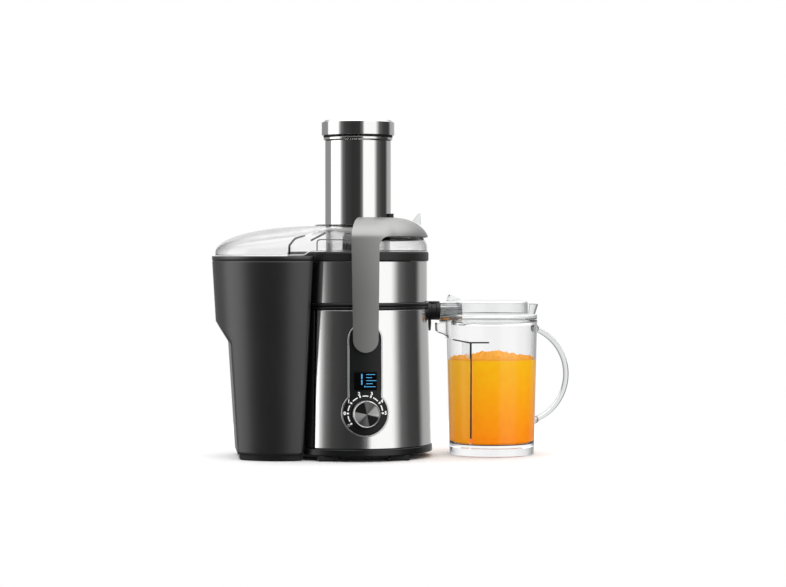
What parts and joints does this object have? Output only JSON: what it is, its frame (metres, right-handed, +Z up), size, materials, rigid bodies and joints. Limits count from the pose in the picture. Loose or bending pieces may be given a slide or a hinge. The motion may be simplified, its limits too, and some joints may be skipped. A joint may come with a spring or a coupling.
{
  "type": "centrifugal juicer",
  "caption": "Steel-clad juicer with a tall feed chute, clear domed lid, locking arm, front dial, grey pulp bin on the left and a clear lidded juice jug on the right.",
  "frame": {"origin": "centre of the whole object's footprint, bin and jug included, at table level", "axes": "+X from the pulp bin towards the juice jug, -Y towards the user and the dial, +Z up"},
  "size_m": [0.452, 0.214, 0.4195],
  "materials": {
    "polished_steel": "polished stainless steel",
    "brushed_steel": "vertically brushed stainless steel",
    "satin_metal": "satin die-cast metal",
    "machined_steel": "ground steel",
    "black_plastic": "black moulded plastic",
    "dark_plastic": "dark grey textured plastic",
    "black_rubber": "soft black rubber",
    "clear_plastic": "clear moulded polycarbonate",
    "copper": "enamelled copper wire",
    "iron": "stamped electrical steel",
    "carbon": "pressed carbon",
    "circuit_board": "green solder mask",
    "display": "smoked window with blue segments"
  },
  "bodies": {
    "motor_base": {"base_plate": "dark_plastic", "base_trim_ring": "dark_plastic", "foot_front_left": "black_rubber", "foot_front_right": "black_rubber", "foot_rear_left": "black_rubber", "foot_rear_right": "black_rubber", "motor_shell": "brushed_steel", "side_column": "dark_plastic", "housing_top": "black_plastic", "cord_gland": "black_plastic", "motor_chassis": "dark_plastic", "motor_bracket_lower": "iron", "motor_bracket_upper": "iron", "bearing_lower": "machined_steel", "bearing_upper": "machined_steel", "stator_core": "iron", "field_winding_lower": "copper", "field_winding_upper": "copper", "carbon_brush_left": "carbon", "carbon_brush_right": "carbon", "brush_holder_left": "black_plastic", "brush_holder_right": "black_plastic", "control_board": "circuit_board", "display_module": "black_plastic", "display_lens": "display", "control_panel": "black_plastic", "panel_rim": "polished_steel", "dial_encoder": "machined_steel", "dial_ring": "polished_steel", "interlock_switch": "black_plastic", "arm_pin_front": "machined_steel", "arm_pin_rear": "machined_steel", "filter_bowl": "dark_plastic", "bowl_band": "brushed_steel", "bowl_rim": "black_plastic", "seam_ring_upper": "black_plastic", "juice_spout": "black_plastic", "spout_nozzle": "clear_plastic", "hub_seal": "black_rubber", "juicer_lid": "clear_plastic", "chute_sleeve": "polished_steel"},
    "spinner": {"motor_shaft": "machined_steel", "rotor_core": "iron", "commutator": "copper", "cooling_fan": "black_plastic", "drive_coupling": "black_plastic", "filter_basket": "brushed_steel", "grater_disc": "brushed_steel"},
    "dial": {"speed_dial": "polished_steel"},
    "arm": {"locking_arm": "satin_metal", "arm_tab": "clear_plastic"},
    "pusher": {"pusher_body": "clear_plastic", "pusher_cap": "polished_steel"},
    "bin": {"pulp_bin": "dark_plastic"},
    "jug_body": {"jug": "clear_plastic", "jug_skirt": "clear_plastic", "jug_handle": "clear_plastic", "froth_separator": "clear_plastic"},
    "jug_cover": {"jug_lid": "clear_plastic"}
  },
  "joints": [
    {"name": "basket_spin", "type": "hinge", "parent": "motor_base", "child": "spinner", "pos_m": [-0.043, 0.004, 0.1], "axis": [0, 0, 1], "continuous": true},
    {"name": "dial_turn", "type": "hinge", "parent": "motor_base", "child": "dial", "pos_m": [-0.043, -0.096, 0.059], "axis": [0, -1, 0], "range_deg": [-144, 72]},
    {"name": "arm_swing", "type": "hinge", "parent": "motor_base", "child": "arm", "pos_m": [-0.043, 0.004, 0.1485], "axis": [0, 1, 0], "range_deg": [0, 35]},
    {"name": "pusher_lift", "type": "slide", "parent": "motor_base", "child": "pusher", "axis": [0, 0, 1], "range_m": [0, 0.15]},
    {"name": "bin_slide", "type": "slide", "parent": "motor_base", "child": "bin", "axis": [-1, 0, 0], "range_m": [0, 0.15]},
    {"name": "jug_slide", "type": "slide", "parent": "motor_base", "child": "jug_body", "axis": [1, 0, 0], "range_m": [0, 0.12]},
    {"name": "jug_lid_lift", "type": "slide", "parent": "jug_body", "child": "jug_cover", "axis": [0, 0, 1], "range_m": [0, 0.06]}
  ]
}
